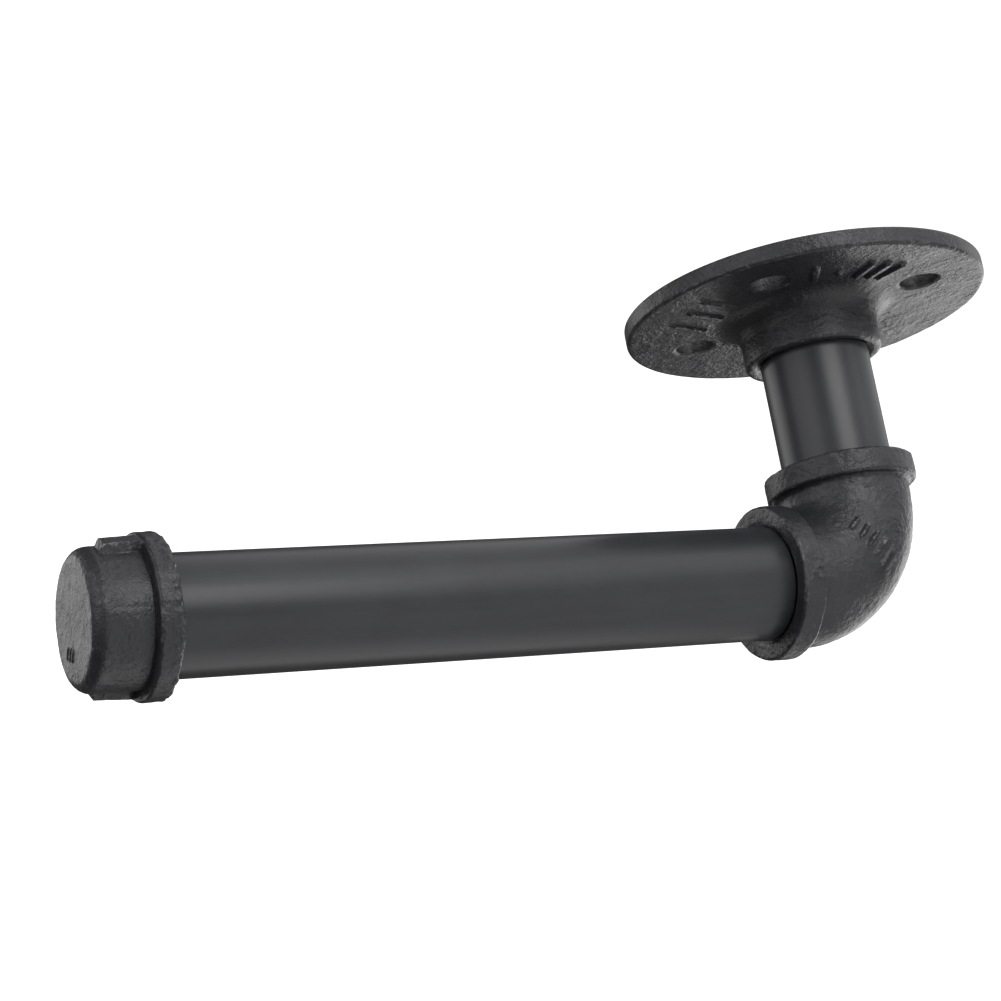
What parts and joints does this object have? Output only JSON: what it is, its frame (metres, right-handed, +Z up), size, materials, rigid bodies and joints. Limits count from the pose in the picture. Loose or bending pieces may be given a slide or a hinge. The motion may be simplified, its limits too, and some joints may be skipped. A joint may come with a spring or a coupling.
{
  "type": "toilet paper holder",
  "caption": "Wall-mounted toilet paper holder: round wall flange, short pipe, elbow and a straight pipe arm with a cap that the roll slides over.",
  "frame": {"origin": "centre of the flange's flat back face, on the wall", "axes": "+Y into the wall, -Y out into the room, -X along the roll arm to its capped end, +Z up"},
  "size_m": [0.2403, 0.0905, 0.0894],
  "materials": {
    "casting": "satin charcoal paint on a sand-cast surface",
    "pipe": "satin charcoal paint on drawn steel pipe"
  },
  "bodies": {
    "flange": {"flange": "casting"},
    "nipple": {"nipple": "pipe"},
    "elbow": {"elbow": "casting"},
    "arm": {"arm_pipe": "pipe"},
    "cap": {"end_cap": "casting"}
  },
  "joints": [
    {"name": "nipple_turn", "type": "hinge", "parent": "flange", "child": "nipple", "pos_m": [0, -0.01617, 0], "axis": [0, -1, 0], "range_deg": [0, 1530]},
    {"name": "elbow_turn", "type": "hinge", "parent": "nipple", "child": "elbow", "pos_m": [0, -0.04477, 0], "axis": [0, -1, 0], "range_deg": [-90, 1530]},
    {"name": "arm_turn", "type": "hinge", "parent": "elbow", "child": "arm", "pos_m": [-0.02762, -0.07239, 0], "axis": [-1, 0, 0], "range_deg": [0, 1530]},
    {"name": "cap_turn", "type": "hinge", "parent": "arm", "child": "cap", "pos_m": [-0.17682, -0.07239, 0], "axis": [-1, 0, 0], "range_deg": [0, 1530]}
  ]
}
